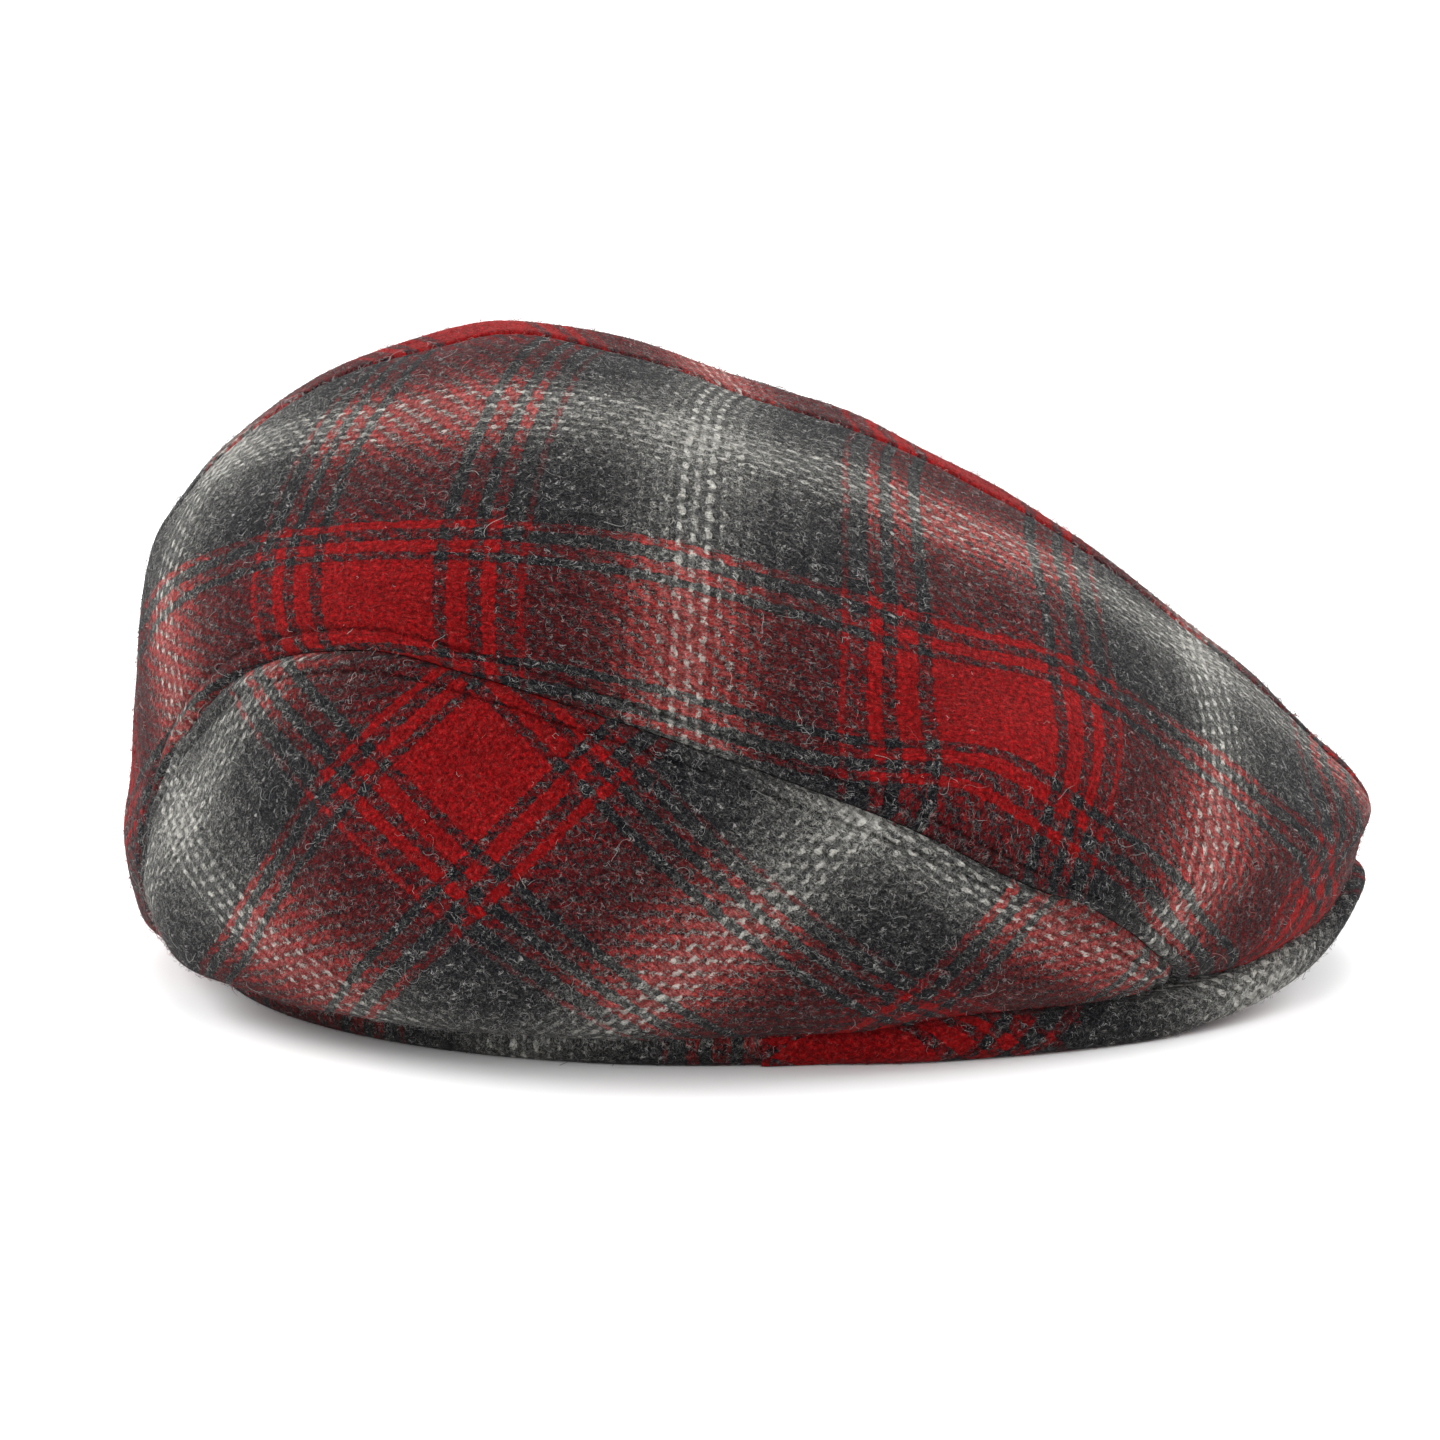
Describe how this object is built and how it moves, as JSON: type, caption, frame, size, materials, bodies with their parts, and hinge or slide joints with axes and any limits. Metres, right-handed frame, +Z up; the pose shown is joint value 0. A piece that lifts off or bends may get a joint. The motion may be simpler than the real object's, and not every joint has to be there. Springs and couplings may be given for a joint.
{
  "type": "flat cap",
  "caption": "Soft plaid wool flat cap with a low rounded crown, a side seam on each flank, a narrow band and an arched peak; open head hollow below.",
  "frame": {"origin": "middle of the cap's footprint on the surface it stands on", "axes": "+X towards the peak, +Z up, the centre seam lies in the plane y = 0"},
  "size_m": [0.266, 0.1952, 0.1362],
  "materials": {
    "top_cloth": "brushed wool plaid in red, black and grey",
    "side_cloth": "brushed wool plaid cut on the bias",
    "band_cloth": "brushed wool plaid",
    "peak_cloth": "brushed wool plaid over a stiff core"
  },
  "bodies": {
    "root": {"top_panel_right": "top_cloth", "top_panel_left": "top_cloth", "side_panel_right": "side_cloth", "side_panel_left": "side_cloth", "band": "band_cloth", "peak": "peak_cloth"}
  },
  "joints": []
}
